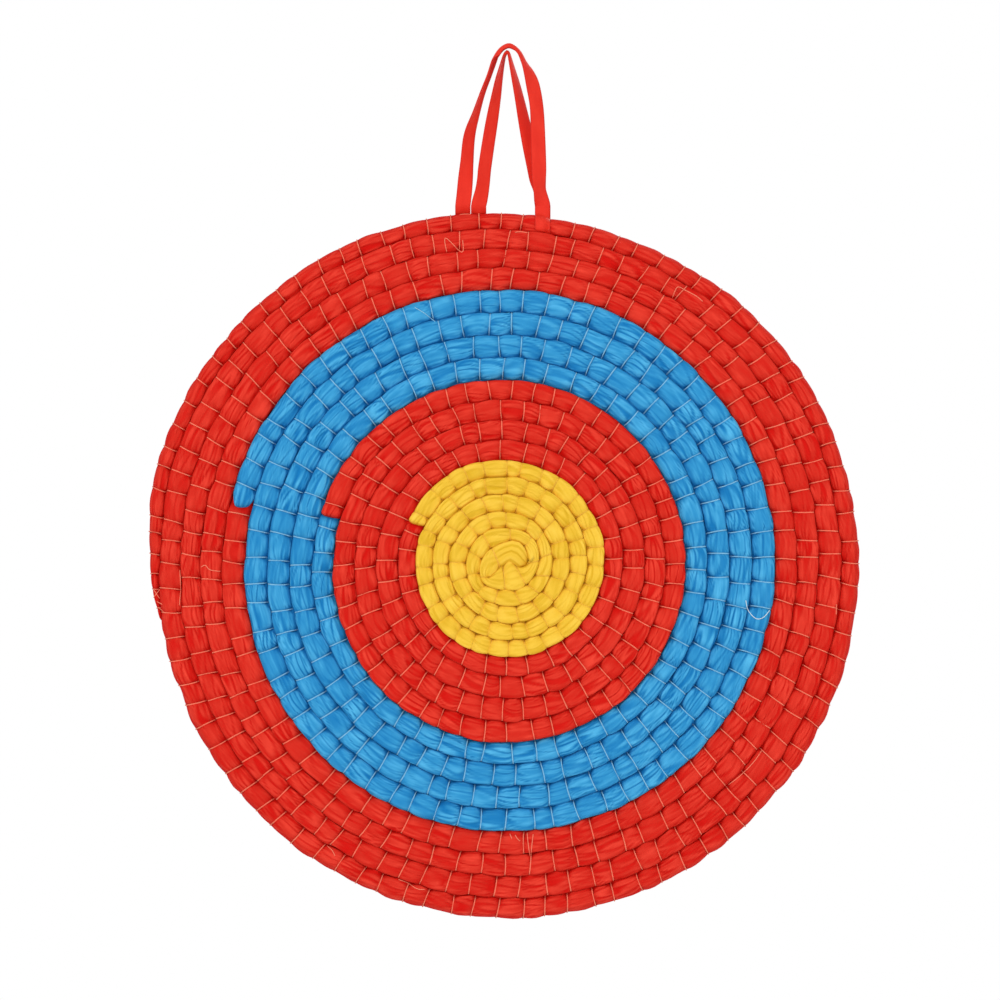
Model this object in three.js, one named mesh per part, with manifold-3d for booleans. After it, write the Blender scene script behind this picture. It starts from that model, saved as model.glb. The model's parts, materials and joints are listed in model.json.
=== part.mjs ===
// A round archery target boss. One straw rope, wrapped in coloured cloth, is wound flat into a spiral,
// and two ribbon loops at its top carry it. Millimetres, +Z up; the coloured face looks to -Y.
// The origin is the point that the loops hang from.

import * as THREE from "three";
import { mergeVertices } from "three/addons/utils/BufferGeometryUtils.js";
import Module from "manifold-3d";

const wasm = await Module();
wasm.setup();

// Clearances
const clearance = 0.3; // between pieces that touch
const turnGap = 0.5; // between one turn of the rope and the next
const overrun = 2; // how far a cut runs past the face it opens

// Rope
const ropeThickness = 20; // front to back
const crownShare = 0.6; // the flat crown's part of the rope's width
const heartRadius = 0.4; // the pinhole that the first turn closes round
const goldGrowth = 9.66; // how far the rope climbs in one turn, in each colour
const innerRedGrowth = 11.47;
const blueGrowth = 12.72;
const outerRedGrowth = 12.28;
const lastTurnGrowth = 8.15; // the last turn is thinner
const clothWall = 0.9; // the wrap's thinnest wall, at the rope's sides
const crownWall = 2.6; // its padded wall at the crowns

// Turns, counted from the middle, whole ones at the top of the boss
const stepsPerTurn = 24;
const ropeStartTurn = 0.5;
const strawStartTurn = 1;
const goldEndTurn = 6.1875;
const innerRedEndTurn = 10.2075;
const blueEndTurn = 14.216;
const lastTurnStart = 17.27;
const topTurn = 18; // the rope's last pass over the top, which the ribbons hold
const taperStartTurn = 18.2084;
const strawEndTurn = 18.24;
const ropeEndTurn = 18.275;
const tipShare = 0.12; // the tip's part of the full width
const tipThicknessShare = 0.4;

// Ribbons
const ribbonWidth = 8.6;
const ribbonThickness = 0.6;
const outerLoopRise = 90; // from the fold line to the top of the loop
const innerLoopRise = 86.2;
const foldHeight = 2.4; // the fold line above the rim
const hangAcross = 2.8; // how far the hanging point is to the right of the boss's middle
const outerTopAcross = 0.8; // the outer loop's top to the right of the hanging point
const outerLeftFoot = -23.2; // feet, from the boss's middle
const innerLeftFoot = -14.3;
const outerRightFoot = 21.7;
const innerRightFoot = 21.9;
const ribbonStation = 2.6; // length between a ribbon's sections
const footRoundSteps = 3; // a loop's feet are rounded, so that they can turn on the fold line
const bellyDepth = 2.6; // how far the two loops stand apart, front and back, half way up

// Legs of the loops from foot to top. Each row holds the way across to the top, the way up to it,
// the quarter turn that brings the ribbon's width from across to through, and the belly.
const outerLeftShares = [
  [0, 0, 0, 0],
  [0.035, 0.089, 0.02, 0.1],
  [0.081, 0.257, 0.34, 0.1],
  [0.13, 0.425, 0.46, 0],
  [0.246, 0.56, 0.66, 0],
  [0.377, 0.695, 0.79, 0],
  [0.515, 0.804, 0.84, 0],
  [0.655, 0.92, 0.9, 0],
  [0.82, 0.983, 0.97, 0],
];
const outerRightShares = [
  [0, 0, 0, -0.2],
  [0.028, 0.185, 0.05, -0.8],
  [0.06, 0.41, 0.2, -1],
  [0.177, 0.594, 0.3, -1],
  [0.293, 0.736, 0.3, -0.6],
  [0.42, 0.829, 0.53, -0.3],
  [0.53, 0.888, 0.74, 0],
  [0.7, 0.957, 0.9, 0],
];
const innerLeftShares = [
  [0, 0, 0, 0],
  [0.13, 0.181, 0.15, 0.2],
  [0.27, 0.356, 0.31, 0.3],
  [0.42, 0.531, 0.43, 0.2],
  [0.586, 0.705, 0.57, 0],
  [0.73, 0.88, 0.74, 0],
  [0.86, 0.965, 0.92, 0],
];
const innerRightShares = [
  [0, 0, 0, 0.2],
  [0.135, 0.181, 0.1, 0.8],
  [0.3, 0.356, 0.28, 1],
  [0.52, 0.549, 0.46, 0.8],
  [0.69, 0.705, 0.6, 0.5],
  [0.86, 0.88, 0.76, 0],
  [0.92, 0.965, 0.9, 0],
];

// Worked out from the sizes above
const layerOffset = (ribbonThickness + clearance) / 2; // two ribbons lie in layers on the fold line
const foldReach = layerOffset + ribbonThickness / 2;
const foldZ = boundary(topTurn) + foldHeight;
const hangZ = foldZ + innerLoopRise - ribbonThickness / 2;

const materials = {
  straw: finish(0xd6ba78, 0.9),
  gold: finish(0xf5c33e, 0.8),
  red: finish(0xd82e22, 0.8),
  blue: finish(0x3490c8, 0.8),
  ribbon: finish(0xea3824, 0.5),
};

function finish(color, roughness) {
  return new THREE.MeshStandardMaterial({ color, roughness, metalness: 0 });
}

// Radius of the seam outside the rope after so many turns
function boundary(turn) {
  const bands = [
    [0, goldEndTurn, goldGrowth],
    [goldEndTurn, innerRedEndTurn, innerRedGrowth],
    [innerRedEndTurn, blueEndTurn, blueGrowth],
    [blueEndTurn, lastTurnStart, outerRedGrowth],
    [lastTurnStart, Infinity, lastTurnGrowth],
  ];
  let radius = heartRadius;
  for (const [from, to, growth] of bands) {
    radius += growth * Math.max(0, Math.min(turn, to) - from);
  }
  return radius;
}

// The rope's cross-section after so many turns: its place and its half sizes
function sectionSizes(turn) {
  const inner = boundary(turn - 1) + turnGap / 2;
  const fullWidth = boundary(turn) - turnGap / 2 - inner;
  const along = Math.max(0, (turn - taperStartTurn) / (ropeEndTurn - taperStartTurn));
  const taper = Math.max(0, 1 - along * along);
  const width = fullWidth * (tipShare + (1 - tipShare) * taper);
  const halfHeight = (ropeThickness / 2) * (tipThicknessShare + (1 - tipThicknessShare) * taper);
  const boreHalfHeight = halfHeight - crownWall;
  const halfWidth = width / 2;
  const crown = crownShare * halfWidth;
  const widthAtBore = halfWidth - ((halfWidth - crown) * boreHalfHeight) / halfHeight;
  return {
    middle: inner + halfWidth,
    halfWidth,
    crown,
    halfHeight,
    boreHalfWidth: widthAtBore - clothWall,
    boreHalfHeight,
  };
}

// A point of the boss at a radius and depth. Turns run to the left from the top, seen from the front.
function polar(turn, radius, depth) {
  const angle = 2 * Math.PI * turn;
  return new THREE.Vector3(-radius * Math.sin(angle), depth, radius * Math.cos(angle));
}

function ropeRing(turn) {
  const s = sectionSizes(turn);
  return [
    polar(turn, s.middle + s.halfWidth, 0),
    polar(turn, s.middle + s.crown, s.halfHeight),
    polar(turn, s.middle - s.crown, s.halfHeight),
    polar(turn, s.middle - s.halfWidth, 0),
    polar(turn, s.middle - s.crown, -s.halfHeight),
    polar(turn, s.middle + s.crown, -s.halfHeight),
  ];
}

function strawRing(turn, allowance) {
  const s = sectionSizes(turn);
  const halfWidth = s.boreHalfWidth - allowance;
  const halfHeight = s.boreHalfHeight - allowance;
  return [
    polar(turn, s.middle + halfWidth, halfHeight),
    polar(turn, s.middle - halfWidth, halfHeight),
    polar(turn, s.middle - halfWidth, -halfHeight),
    polar(turn, s.middle + halfWidth, -halfHeight),
  ];
}

const boreRing = (turn) => strawRing(turn, 0);
const coreRing = (turn) => strawRing(turn, clearance);

// A ring anywhere along the rope. Between two stations it lies on the straight faces that join them,
// so that every turn keeps its gap to the next. Past the taper it has its own place.
function ringAt(makeRing, turn) {
  const station = Math.floor(turn * stepsPerTurn);
  const share = turn * stepsPerTurn - station;
  const low = makeRing(station / stepsPerTurn);
  if (share === 0) return low;
  const nextTurn = (station + 1) / stepsPerTurn;
  if (nextTurn > ropeEndTurn) return makeRing(turn);
  const high = makeRing(nextTurn);
  return low.map((point, i) => point.clone().lerp(high[i], share));
}

function ringsAlong(makeRing, fromTurn, toTurn) {
  const rings = [ringAt(makeRing, fromTurn)];
  const first = Math.floor(fromTurn * stepsPerTurn) + 1;
  for (let station = first; station < toTurn * stepsPerTurn; station += 1) {
    rings.push(makeRing(station / stepsPerTurn));
  }
  rings.push(ringAt(makeRing, toTurn));
  return rings;
}

// Turns that a length along the rope makes
function turnsOf(length, turn) {
  return length / (2 * Math.PI * sectionSizes(turn).middle);
}

// A closed tube through rings of points
function sweep(rings) {
  const sides = rings[0].length;
  const positions = rings.flatMap((ring) => ring.flatMap((point) => point.toArray()));
  const indices = [];
  for (let i = 0; i < rings.length - 1; i += 1) {
    for (let j = 0; j < sides; j += 1) {
      const a = i * sides + j;
      const b = i * sides + ((j + 1) % sides);
      indices.push(a, b, a + sides, b, b + sides, a + sides);
    }
  }
  const last = (rings.length - 1) * sides;
  for (let j = 1; j < sides - 1; j += 1) {
    indices.push(0, j + 1, j);
    indices.push(last, last + j, last + j + 1);
  }
  const geometry = new THREE.BufferGeometry();
  geometry.setAttribute("position", new THREE.Float32BufferAttribute(positions, 3));
  geometry.setIndex(indices);
  return geometry;
}

function solidOf(geometry) {
  const bare = new THREE.BufferGeometry();
  bare.setAttribute("position", geometry.getAttribute("position"));
  bare.setIndex(geometry.getIndex());
  const merged = mergeVertices(bare);
  return new wasm.Manifold(
    new wasm.Mesh({
      numProp: 3,
      vertProperties: merged.getAttribute("position").array,
      triVerts: new Uint32Array(merged.getIndex().array),
    }),
  );
}

function geometryOf(solid) {
  const mesh = solid.getMesh();
  const geometry = new THREE.BufferGeometry();
  geometry.setAttribute("position", new THREE.BufferAttribute(mesh.vertProperties, mesh.numProp));
  geometry.setIndex(new THREE.BufferAttribute(mesh.triVerts, 1));
  return geometry;
}

function piece(name, geometry, material) {
  const mesh = new THREE.Mesh(geometry, material);
  mesh.name = name;
  return mesh;
}

// The least distance between a stretch of rope and its own next turn, on points of the facing ridges
function leastTurnGap(fromTurn, toTurn) {
  const pointsPerStep = 4;
  const step = 1 / (stepsPerTurn * pointsPerStep);
  let least = Infinity;
  for (let turn = fromTurn; turn + 1 <= toTurn; turn += step) {
    const outside = ringAt(ropeRing, turn)[0];
    const inside = ringAt(ropeRing, turn + 1)[3];
    least = Math.min(least, outside.distanceTo(inside));
  }
  return least;
}

// A cloth wrap is a sleeve along one stretch of the rope. It is open where the next colour follows on.
function makeWrap(name, fromTurn, toTurn, material) {
  const opensBefore = fromTurn > ropeStartTurn;
  const opensAfter = toTurn < ropeEndTurn;
  const start = opensBefore ? fromTurn + turnsOf(clearance / 2, fromTurn) : fromTurn;
  const end = opensAfter ? toTurn - turnsOf(clearance / 2, toTurn) : toTurn;
  const boreStart = opensBefore
    ? start - turnsOf(overrun, fromTurn)
    : strawStartTurn - turnsOf(clearance, strawStartTurn);
  const boreEnd = opensAfter
    ? end + turnsOf(overrun, toTurn)
    : strawEndTurn + turnsOf(clearance, strawEndTurn);
  const skin = solidOf(sweep(ringsAlong(ropeRing, start, end)));
  const bore = solidOf(sweep(ringsAlong(boreRing, boreStart, boreEnd)));
  console.log(name + ": least gap to itself " + leastTurnGap(start, end).toFixed(2) + " mm");
  return piece(name, geometryOf(skin.subtract(bore)), material);
}

function makeStraw() {
  const rings = ringsAlong(coreRing, strawStartTurn, strawEndTurn);
  return piece("straw_core", sweep(rings), materials.straw);
}

// One leg of a loop as places with their quarter turn, from its foot to just short of the top
function legPlaces(shares, footX, footLayer, topX, rise) {
  return shares.map(([across, up, quarter, belly], i) => ({
    place: new THREE.Vector3(
      THREE.MathUtils.lerp(footX, topX, across),
      i === 0 ? footLayer : belly * bellyDepth + footLayer * (1 - up),
      foldZ + rise * up,
    ),
    quarter,
  }));
}

// A ribbon's section: its width turns from across the boss to through it
function ribbonRing(place, along, quarter, thickness) {
  const angle = (Math.PI / 2) * quarter;
  const width = new THREE.Vector3(Math.cos(angle), Math.sin(angle), 0);
  width.addScaledVector(along, -width.dot(along)).normalize();
  const face = new THREE.Vector3().crossVectors(width, along);
  const corners = [
    [1, 1],
    [1, -1],
    [-1, -1],
    [-1, 1],
  ];
  return corners.map(([w, f]) =>
    place
      .clone()
      .addScaledVector(width, (w * ribbonWidth) / 2)
      .addScaledVector(face, (f * thickness) / 2),
  );
}

// Sections that round a foot off, from its end upwards
function footRings(place, down) {
  const rings = [];
  for (let i = footRoundSteps; i > 0; i -= 1) {
    const angle = (Math.PI / 2) * (i / (footRoundSteps + 1));
    const end = place.clone().addScaledVector(down, (ribbonThickness / 2) * Math.sin(angle));
    rings.push(ribbonRing(end, down.clone().negate(), 0, ribbonThickness * Math.cos(angle)));
  }
  return rings;
}

// A loop runs from its left foot over the top to its right foot
function makeLoop(name, left, right, topX, rise) {
  const top = { place: new THREE.Vector3(topX, 0, foldZ + rise), quarter: 1 };
  const leftLeg = legPlaces(left.shares, left.foot, left.layer, topX, rise);
  const rightLeg = legPlaces(right.shares, right.foot, right.layer, topX, rise);
  const stops = [...leftLeg, top, ...rightLeg.reverse()];
  const route = new THREE.CatmullRomCurve3(stops.map((stop) => stop.place), false, "centripetal");
  const turning = new THREE.SplineCurve(stops.map((stop, i) => new THREE.Vector2(i, stop.quarter)));
  const steps = Math.round(route.getLength() / ribbonStation);
  const down = new THREE.Vector3(0, 0, -1);
  const rings = footRings(stops[0].place, down);
  for (let i = 0; i <= steps; i += 1) {
    const t = route.getUtoTmapping(i / steps);
    const ends = i === 0 || i === steps;
    const along = ends ? new THREE.Vector3(0, 0, i === 0 ? 1 : -1) : route.getTangent(t);
    rings.push(ribbonRing(route.getPoint(t), along, turning.getPoint(t).y, ribbonThickness));
  }
  const lastFoot = footRings(stops[stops.length - 1].place, down).reverse();
  const turnedRound = lastFoot.map(([a, b, c, d]) => [b, a, d, c]);
  return piece(name, sweep([...rings, ...turnedRound]), materials.ribbon);
}

// Where the line through two corners, moved out by a distance, has a given depth or meets the next line
function movedLine(from, to, distance) {
  const along = to.clone().sub(from).normalize();
  const out = new THREE.Vector2(-along.y, along.x);
  return { at: from.clone().addScaledVector(out, distance), along };
}

function heightAt(line, depth) {
  return line.at.y + (line.along.y * (depth - line.at.x)) / line.along.x;
}

function meeting(one, other) {
  const cross = one.along.cross(other.along);
  const reach = other.at.clone().sub(one.at).cross(other.along) / cross;
  return one.at.clone().addScaledVector(one.along, reach);
}

// A ribbon's sewn-down end. It leaves the fold line, lies on one face of the last turn, goes round it
// and dips into the seam below. Side is -1 for the front and 1 for the back.
function makeRibbonEnd(name, footX, side) {
  const half = 0.5 / stepsPerTurn;
  const turn = topTurn - Math.sign(footX) * half;
  const toChord = Math.cos(2 * Math.PI * half);
  const top = sectionSizes(turn);
  const below = sectionSizes(turn - 1);
  const scaled = (depth, radius) => new THREE.Vector2(-depth, radius * toChord);
  const ridge = scaled(0, top.middle + top.halfWidth);
  const upperCrown = scaled(top.halfHeight, top.middle + top.crown);
  const lowerCrown = scaled(top.halfHeight, top.middle - top.crown);
  const valley = scaled(0, top.middle - top.halfWidth);
  const near = clearance;
  const far = clearance + ribbonThickness;
  const lines = [near, far].map((distance) => [
    movedLine(ridge, upperCrown, -distance),
    movedLine(upperCrown, lowerCrown, -distance),
    movedLine(lowerCrown, valley, -distance),
  ]);
  const topSlope = ((1 - crownShare) * top.halfWidth) / top.halfHeight;
  const slopes = topSlope + ((1 - crownShare) * below.halfWidth) / below.halfHeight;
  const dip = (far + clearance * 2 - turnGap) / slopes;
  const lipNear = layerOffset - ribbonThickness / 2;
  const lipFar = layerOffset + ribbonThickness / 2;
  const lipTop = foldZ + ribbonWidth;
  const [inner, outer] = lines;
  const outline = [
    new THREE.Vector2(-lipNear, lipTop),
    new THREE.Vector2(-lipNear, heightAt(inner[0], -lipNear)),
    meeting(inner[0], inner[1]),
    meeting(inner[1], inner[2]),
    new THREE.Vector2(-dip, heightAt(inner[2], -dip)),
    new THREE.Vector2(-dip, heightAt(outer[2], -dip)),
    meeting(outer[1], outer[2]),
    meeting(outer[0], outer[1]),
    new THREE.Vector2(-lipFar, heightAt(outer[0], -lipFar)),
    new THREE.Vector2(-lipFar, lipTop),
  ].map((point) => new THREE.Vector2(-side * point.x, point.y));
  const strip = new THREE.ExtrudeGeometry(new THREE.Shape(outline), {
    depth: ribbonWidth,
    bevelEnabled: false,
  });
  strip.translate(0, 0, -ribbonWidth / 2);
  const [x, y, z] = [new THREE.Vector3(1, 0, 0), new THREE.Vector3(0, 1, 0), new THREE.Vector3(0, 0, 1)];
  strip.applyMatrix4(new THREE.Matrix4().makeBasis(y, z, x));
  const angle = 2 * Math.PI * (turn - topTurn);
  const radius = ridge.y;
  strip.translate((footX + radius * Math.sin(angle)) / Math.cos(angle), 0, 0);
  strip.rotateY(-angle);
  const trimmed = cutAbove(solidOf(strip), foldZ - foldReach - clearance / 2);
  return piece(name, geometryOf(trimmed), materials.ribbon);
}

// Takes away what stands above a height
function cutAbove(solid, z) {
  const reach = ropeThickness + outerLoopRise;
  const block = new THREE.BoxGeometry(reach * 2, reach, reach);
  block.translate(0, 0, z + reach / 2);
  return solid.subtract(solidOf(block));
}

function makeBoss() {
  const boss = new THREE.Group();
  boss.add(
    makeStraw(),
    makeWrap("gold_wrap", ropeStartTurn, goldEndTurn, materials.gold),
    makeWrap("inner_red_wrap", goldEndTurn, innerRedEndTurn, materials.red),
    makeWrap("blue_wrap", innerRedEndTurn, blueEndTurn, materials.blue),
    makeWrap("outer_red_wrap", blueEndTurn, ropeEndTurn, materials.red),
    makeRibbonEnd("outer_loop_left_end", outerLeftFoot, 1),
    makeRibbonEnd("inner_loop_left_end", innerLeftFoot, 1),
    makeRibbonEnd("outer_loop_right_end", outerRightFoot, -1),
    makeRibbonEnd("inner_loop_right_end", innerRightFoot, 1),
  );
  return boss;
}

function makeHanger() {
  const hanger = new THREE.Group();
  hanger.add(
    makeLoop(
      "outer_hanging_loop",
      { shares: outerLeftShares, foot: outerLeftFoot, layer: layerOffset },
      { shares: outerRightShares, foot: outerRightFoot, layer: -layerOffset },
      hangAcross + outerTopAcross,
      outerLoopRise,
    ),
    makeLoop(
      "inner_hanging_loop",
      { shares: innerLeftShares, foot: innerLeftFoot, layer: layerOffset },
      { shares: innerRightShares, foot: innerRightFoot, layer: layerOffset },
      hangAcross,
      innerLoopRise,
    ),
  );
  return hanger;
}

const group = new THREE.Group();
group.add(makeBoss(), makeHanger());
group.position.set(-hangAcross, 0, -hangZ);
console.log("fold line at z " + (foldZ - hangZ).toFixed(3));
console.log("middle of the boss at z " + (-hangZ).toFixed(3));

export default group;
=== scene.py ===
import json
import math

import bpy
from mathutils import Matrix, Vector
from mathutils.bvhtree import BVHTree


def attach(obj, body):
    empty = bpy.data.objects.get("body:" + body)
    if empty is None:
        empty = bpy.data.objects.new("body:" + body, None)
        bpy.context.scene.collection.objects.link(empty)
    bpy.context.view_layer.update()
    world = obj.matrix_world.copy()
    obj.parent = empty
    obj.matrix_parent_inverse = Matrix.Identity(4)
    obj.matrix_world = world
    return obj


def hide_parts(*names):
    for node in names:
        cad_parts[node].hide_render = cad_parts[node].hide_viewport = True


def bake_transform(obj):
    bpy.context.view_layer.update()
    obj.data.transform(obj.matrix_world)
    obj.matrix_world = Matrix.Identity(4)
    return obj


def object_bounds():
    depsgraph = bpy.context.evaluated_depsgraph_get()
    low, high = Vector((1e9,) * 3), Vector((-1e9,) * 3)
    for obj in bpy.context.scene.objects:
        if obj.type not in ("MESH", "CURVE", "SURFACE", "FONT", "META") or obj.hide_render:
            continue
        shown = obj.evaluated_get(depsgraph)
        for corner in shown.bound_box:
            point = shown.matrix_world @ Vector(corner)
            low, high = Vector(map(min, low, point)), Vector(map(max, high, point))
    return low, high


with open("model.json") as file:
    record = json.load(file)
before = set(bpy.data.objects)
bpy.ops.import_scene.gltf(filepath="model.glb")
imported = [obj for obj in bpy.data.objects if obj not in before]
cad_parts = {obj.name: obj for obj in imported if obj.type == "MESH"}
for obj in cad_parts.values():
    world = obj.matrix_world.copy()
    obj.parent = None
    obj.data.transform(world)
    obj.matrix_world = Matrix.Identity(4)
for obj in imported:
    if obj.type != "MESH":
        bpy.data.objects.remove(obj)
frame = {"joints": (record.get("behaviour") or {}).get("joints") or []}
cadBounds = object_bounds()
mm = 0.001


# Small helpers for node trees


class Wire:  # a node's output that sums can be written with: each sum adds one Math node
    def __init__(self, tree, socket):
        self.tree = tree
        self.socket = socket

    def math(self, operation, *others):
        node = self.tree.nodes.new("ShaderNodeMath")
        node.operation = operation
        for index, value in enumerate((self, *others)):
            connect(self.tree, value, node.inputs[index])
        return Wire(self.tree, node.outputs[0])

    def other(self, name):  # another output of the same node
        return Wire(self.tree, socketNamed(self.socket.node.outputs, name))

    __add__ = __radd__ = lambda self, value: self.math("ADD", value)
    __sub__ = lambda self, value: self.math("SUBTRACT", value)
    __rsub__ = lambda self, value: self.math("MULTIPLY", -1).math("ADD", value)
    __mul__ = __rmul__ = lambda self, value: self.math("MULTIPLY", value)
    __truediv__ = lambda self, value: self.math("DIVIDE", value)
    __pow__ = lambda self, value: self.math("POWER", value)


def connect(tree, value, socket):
    if isinstance(value, Wire):
        tree.links.new(value.socket, socket)
    else:
        socket.default_value = value


def socketNamed(sockets, name):
    return next(s for s in sockets if s.name == name and s.enabled)


def addNode(tree, kind, inputs, **settings):
    node = tree.nodes.new(kind)
    for name, value in settings.items():
        setattr(node, name, value)
    for name, value in inputs.items():
        connect(tree, value, socketNamed(node.inputs, name))
    shown = [s for s in node.outputs if s.enabled]
    return Wire(tree, shown[0]) if shown else None


def limited(value, low, high):
    if isinstance(value, Wire):
        return value.math("MAXIMUM", low).math("MINIMUM", high)
    return min(max(value, low), high)


def smoothly(value, low, high):  # 0 below low, 1 above high
    share = limited((value - low) / (high - low), 0, 1)
    return share * share * (3 - 2 * share)


def mixed(low, high, share):
    return low + (high - low) * share


def joinedXyz(tree, x, y, z):
    return addNode(tree, "ShaderNodeCombineXYZ", {"X": x, "Y": y, "Z": z})


def partsOf(tree, vector):
    first = addNode(tree, "ShaderNodeSeparateXYZ", {"Vector": vector})
    return first, first.other("Y"), first.other("Z")


def noise(tree, vector, scale, detail):
    values = {"Vector": vector, "Scale": scale, "Detail": detail}
    return addNode(tree, "ShaderNodeTexNoise", values)


def grain(tree, along, around, sizes, third=0, detail=0):  # noise stretched to these sizes
    return noise(tree, joinedXyz(tree, along / sizes[0], around / sizes[1], third), 1, detail)


def newTree(name, sizes):  # a geometry tree with one named input for each size
    tree = bpy.data.node_groups.new(name, "GeometryNodeTree")
    kinds = {int: "NodeSocketInt", float: "NodeSocketFloat", type(None): "NodeSocketMaterial"}
    for label, value in sizes.items():
        socket = tree.interface.new_socket(label, in_out="INPUT", socket_type=kinds[type(value)])
        if value is not None:
            socket.default_value = value
    tree.interface.new_socket("Geometry", in_out="OUTPUT", socket_type="NodeSocketGeometry")
    start = tree.nodes.new("NodeGroupInput")
    return tree, {label: Wire(tree, start.outputs[label]) for label in sizes}


def unitGrid(tree, columns, rows):
    sizes = {"Size X": 1, "Size Y": 1, "Vertices X": columns + 1, "Vertices Y": rows + 1}
    return addNode(tree, "GeometryNodeMeshGrid", sizes)


def gridShares(tree):  # where a point of such a grid lies, from 0 to 1 each way
    x, y, _ = partsOf(tree, addNode(tree, "GeometryNodeInputPosition", {}))
    return x + 0.5, y + 0.5


def stored(tree, geometry, name, value, kind="FLOAT", domain="POINT"):
    values = {"Geometry": geometry, "Name": name, "Value": value}
    return addNode(
        tree, "GeometryNodeStoreNamedAttribute", values, data_type=kind, domain=domain
    )


def mapped(tree, geometry, name, along, around):  # stores a map for the material
    sheet = joinedXyz(tree, along, around, 0)
    return stored(tree, geometry, name, sheet, kind="FLOAT2", domain="CORNER")


def finishTree(tree, geometry, material):
    whole = addNode(tree, "GeometryNodeRealizeInstances", {"Geometry": geometry})
    smooth = addNode(tree, "GeometryNodeSetShadeSmooth", {"Geometry": whole, "Shade Smooth": True})
    dressed = addNode(tree, "GeometryNodeSetMaterial", {"Geometry": smooth, "Material": material})
    end = tree.nodes.new("NodeGroupOutput")
    tree.links.new(dressed.socket, end.inputs["Geometry"])


def growMesh(name, tree, sizes):  # runs a tree once with these sizes and keeps its mesh
    holder = bpy.data.objects.new(name + "_maker", bpy.data.meshes.new(name + "_maker"))
    bpy.context.scene.collection.objects.link(holder)
    modifier = holder.modifiers.new("maker", "NODES")
    modifier.node_group = tree
    for item in tree.interface.items_tree:
        if item.in_out == "INPUT" and item.name in sizes:
            modifier[item.identifier] = sizes[item.name]
    holder.data.update()
    graph = bpy.context.evaluated_depsgraph_get()
    mesh = bpy.data.meshes.new_from_object(
        holder.evaluated_get(graph), preserve_all_data_layers=True, depsgraph=graph
    )
    bpy.data.objects.remove(holder)
    mesh.name = name
    return mesh


def placed(name, mesh):
    piece = bpy.data.objects.new(name, mesh)
    bpy.context.scene.collection.objects.link(piece)
    return piece


# Small helpers for rows of points

curveSteps = 600  # in which the length of a curve is measured


def besides(items, k):  # the items before and after one, or itself at either end
    return items[max(k - 1, 0)], items[min(k + 1, len(items) - 1)]


def levelled(values, pick, times):  # pick takes a value or the middle of its neighbours
    for _ in range(times):
        values = [pick(value, sum(besides(values, k)) / 2) for k, value in enumerate(values)]
    return values


def throughPoints(points, share):  # a smooth curve through rows of numbers, share from 0 to 1
    spot = share * (len(points) - 1)
    index = min(int(spot), len(points) - 2)
    t = spot - index
    before = besides(points, index)[0]
    beyond = besides(points, index + 1)[1]
    place = []
    for a, b, c, d in zip(before, points[index], points[index + 1], beyond):
        bend = 2 * a - 5 * b + 4 * c - d
        twist = 3 * b - a - 3 * c + d
        place.append(0.5 * (2 * b + (c - a) * t + bend * t * t + twist * t**3))
    return place


def lengthsAlong(places):
    lengths = [0]
    for one, two in zip(places, places[1:]):
        lengths.append(lengths[-1] + (one - two).length)
    return lengths


def evenly(rows, step):  # rows spaced by a length along their first three numbers
    fine = [throughPoints(rows, i / curveSteps) for i in range(curveSteps + 1)]
    lengths = lengthsAlong([Vector(row[:3]) for row in fine])
    count = max(2, round(lengths[-1] / step))
    out = []
    index = 0
    for k in range(count + 1):
        want = lengths[-1] * k / count
        while index < len(lengths) - 2 and lengths[index + 1] < want:
            index += 1
        part = (want - lengths[index]) / max(lengths[index + 1] - lengths[index], 1e-9)
        out.append([mixed(a, b, limited(part, 0, 1)) for a, b in zip(fine[index], fine[index + 1])])
    return out


# Camera, floor and light

view = {
    "pixel": 0.5634 * mm,  # one pixel of the picture at the boss
    "pixelsAcross": 1000,
    "middleX": -5.05 * mm,
    "middleZ": -251.8 * mm,
    "distance": 3.2,
    "farthest": 30,
    "sensor": 36,
}


def makeCamera():
    camera = bpy.data.cameras.new("camera")
    camera.sensor_width = view["sensor"]
    across = view["pixel"] * view["pixelsAcross"]
    camera.lens = view["sensor"] * view["distance"] / across
    camera.clip_end = view["farthest"]
    stand = bpy.data.objects.new("camera", camera)
    stand.location = (view["middleX"], -view["distance"], view["middleZ"])
    stand.rotation_euler = (math.radians(90), 0, 0)
    bpy.context.scene.collection.objects.link(stand)
    bpy.context.scene.camera = stand


studio = {
    "floorDrop": 0.26,  # below the boss
    "floorReach": 1.6,
    "floorColour": (0.86, 0.86, 0.85),
    "floorRoughness": 0.9,
    "skyStrength": 0.62,
    "lamps": [  # name, place, size, watts
        ("key_lamp", (-0.9, -1.9, 0.75), 1.3, 22),
        ("fill_lamp", (1.3, -1.7, -0.1), 1.5, 9),
        ("back_lamp", (0.8, 1.9, 0.5), 1.5, 18),
    ],
}


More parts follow.
